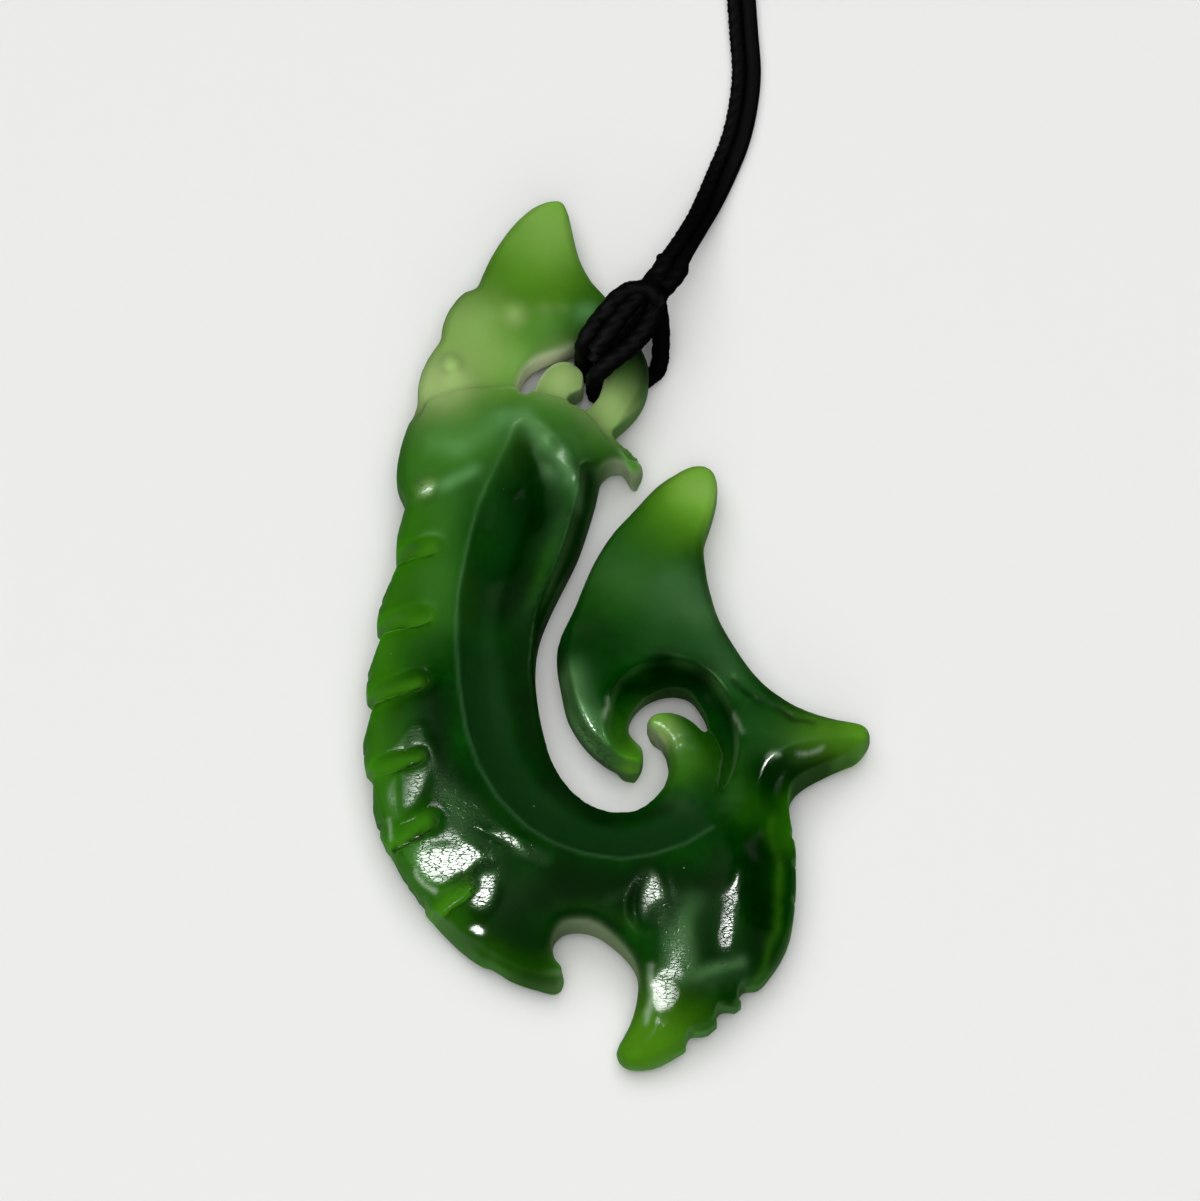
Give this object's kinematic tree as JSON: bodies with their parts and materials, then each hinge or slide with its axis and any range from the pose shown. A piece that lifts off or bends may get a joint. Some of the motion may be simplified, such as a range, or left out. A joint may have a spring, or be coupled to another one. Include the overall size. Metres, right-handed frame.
{
  "type": "carved pendant on a neck cord",
  "caption": "Flat-backed carved stone pendant with a scrolled body, spiral slit, fin, spike and notched edge, hitched to a neck cord.",
  "frame": {"origin": "middle of the carving's box, on the surface that its flat back lies on", "axes": "+X to the spike's side, +Y to the crest, +Z out of the carved face"},
  "size_m": [0.1691, 0.2751, 0.0077],
  "materials": {
    "greenstone": "polished, translucent at thin edges",
    "waxed_cord": "matt waxed"
  },
  "bodies": {
    "root": {"greenstone_carving": "greenstone", "hitch_knot": "waxed_cord", "neck_cord": "waxed_cord"}
  },
  "joints": []
}
